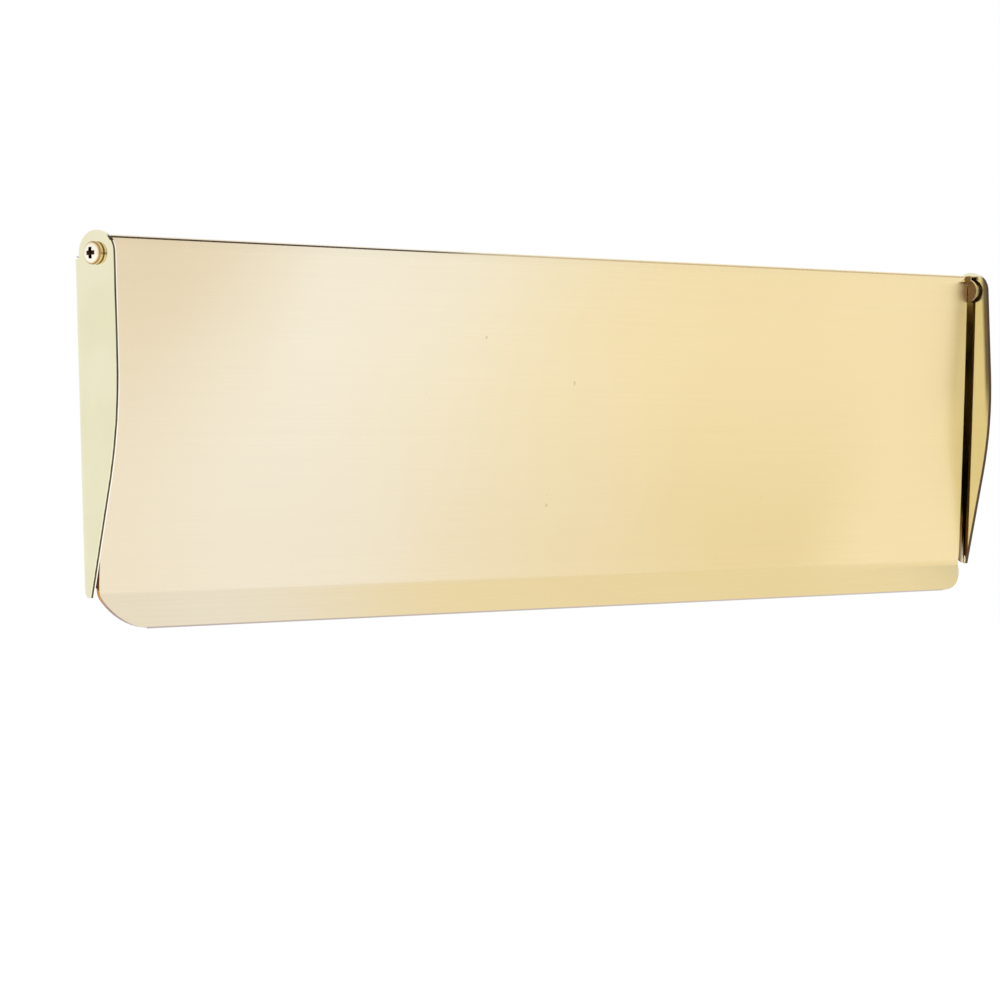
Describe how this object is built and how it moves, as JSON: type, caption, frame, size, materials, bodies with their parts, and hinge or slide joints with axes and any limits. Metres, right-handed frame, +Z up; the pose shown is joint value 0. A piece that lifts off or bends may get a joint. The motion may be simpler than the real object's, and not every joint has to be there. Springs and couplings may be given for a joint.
{
  "type": "interior letter plate",
  "caption": "Interior letter plate: a long folded brass frame with rounded cheeks and a sprung, tapering flap with a flared lip.",
  "frame": {"origin": "on the rear mounting face, midway along the land of the back plate above the letter slot", "axes": "+X along the plate to the right seen from the room, +Y into the door, +Z up"},
  "size_m": [0.3334, 0.0123, 0.0828],
  "materials": {
    "frame_brass": "polished",
    "flap_brass": "satin, faintly brushed along the length",
    "screw_brass": "polished",
    "washer_brass": "polished",
    "spring_steel": "bright drawn wire"
  },
  "bodies": {
    "frame": {"back_frame": "frame_brass", "pivot_washer_left": "washer_brass", "pivot_washer_right": "washer_brass", "return_spring_left": "spring_steel", "return_spring_right": "spring_steel"},
    "flap": {"flap": "flap_brass", "pivot_screw_left": "screw_brass", "pivot_screw_right": "screw_brass"}
  },
  "joints": [
    {"name": "flap_swing", "type": "hinge", "parent": "frame", "child": "flap", "pos_m": [0, -0.0075, 0.009], "axis": [-1, 0, 0], "range_deg": [0, 90], "stiffness_Nm_per_rad": 0.02, "springref_deg": -85.94, "deforming": ["return_spring_left", "return_spring_right"]}
  ]
}
